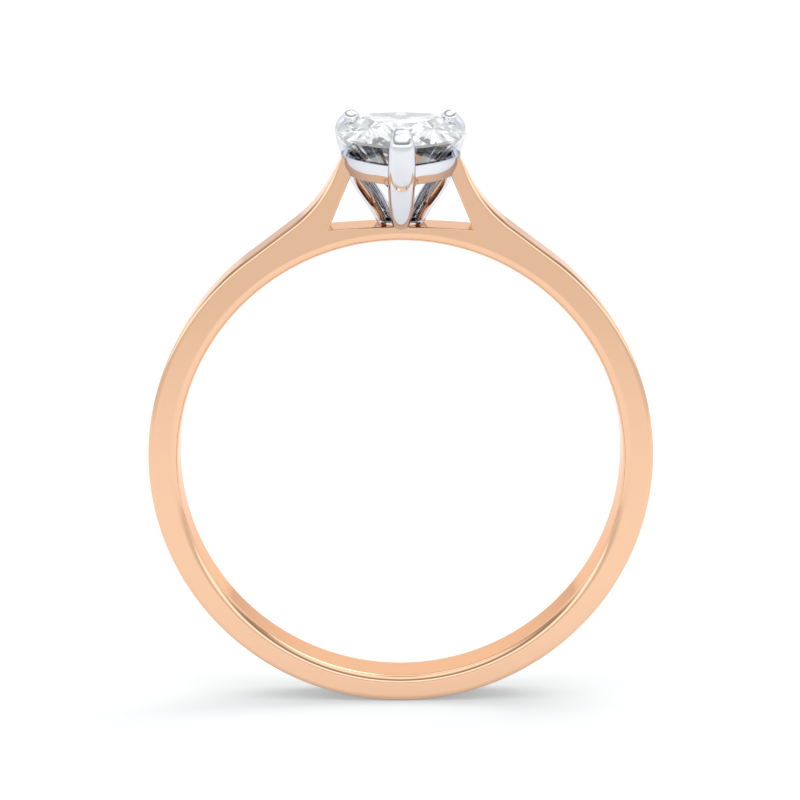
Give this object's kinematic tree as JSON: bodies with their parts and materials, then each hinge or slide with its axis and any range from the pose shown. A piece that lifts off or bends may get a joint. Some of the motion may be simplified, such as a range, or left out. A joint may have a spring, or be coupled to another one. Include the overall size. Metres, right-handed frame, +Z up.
{
  "type": "engagement ring",
  "caption": "Cathedral ring with a plain rose gold band and a pear-cut diamond held in a white metal claw head.",
  "frame": {"origin": "centre of the finger hole, in the middle of the band's width", "axes": "+Z up from the finger hole through the stone, +Y along the finger's axis with the pear's point towards -Y, +X to the right when the point faces the viewer"},
  "size_m": [0.0194, 0.008, 0.0228],
  "materials": {
    "rose_gold": "polished 18 carat rose gold",
    "platinum": "polished platinum",
    "diamond": "colourless faceted diamond"
  },
  "bodies": {
    "root": {"shank_hoop": "rose_gold", "shoulder_left": "rose_gold", "shoulder_right": "rose_gold", "bridge": "rose_gold", "head_foot": "platinum", "gallery_rail": "platinum", "claw_front": "platinum", "claw_back_left": "platinum", "claw_back_right": "platinum", "diamond": "diamond"}
  },
  "joints": []
}
